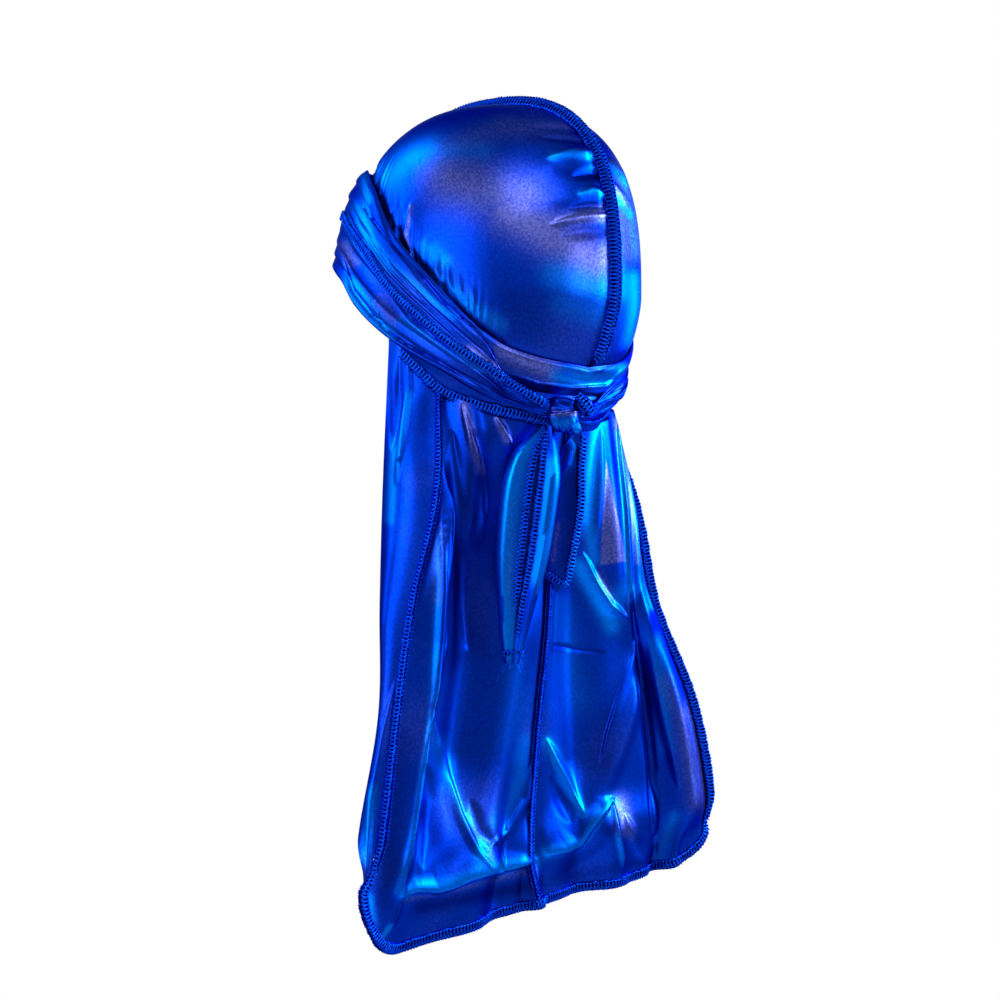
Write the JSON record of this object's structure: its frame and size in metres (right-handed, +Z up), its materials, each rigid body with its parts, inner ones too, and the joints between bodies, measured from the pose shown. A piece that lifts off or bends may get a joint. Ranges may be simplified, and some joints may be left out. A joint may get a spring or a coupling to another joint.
{
  "type": "satin tie-back head wrap with back tail",
  "caption": "Silky tie-back head wrap: domed cap with a raised middle seam, pleated straps tied in a back knot, hanging tie ends and a long flared tail.",
  "frame": {"origin": "inner top of the cap, where it sits on the head", "axes": "+Z up, the wearer faces -Y, the wearer's left is +X"},
  "size_m": [0.2728, 0.201, 0.4897],
  "materials": {
    "satin": "glossy royal blue satin",
    "overlock": "dark blue overlock thread"
  },
  "bodies": {
    "root": {"crown_left": "satin", "crown_right": "satin", "crown_seam": "overlock", "neck_seam": "overlock", "under_wrap": "satin", "strap_left": "satin", "strap_right": "satin", "knot": "satin", "tie_end_left": "satin", "tie_end_right": "satin", "tail_left": "satin", "tail_right": "satin", "tail_seam": "overlock", "side_seam_left": "overlock", "side_seam_right": "overlock", "gore_left": "satin", "gore_right": "satin", "tail_hem": "overlock"}
  },
  "joints": []
}
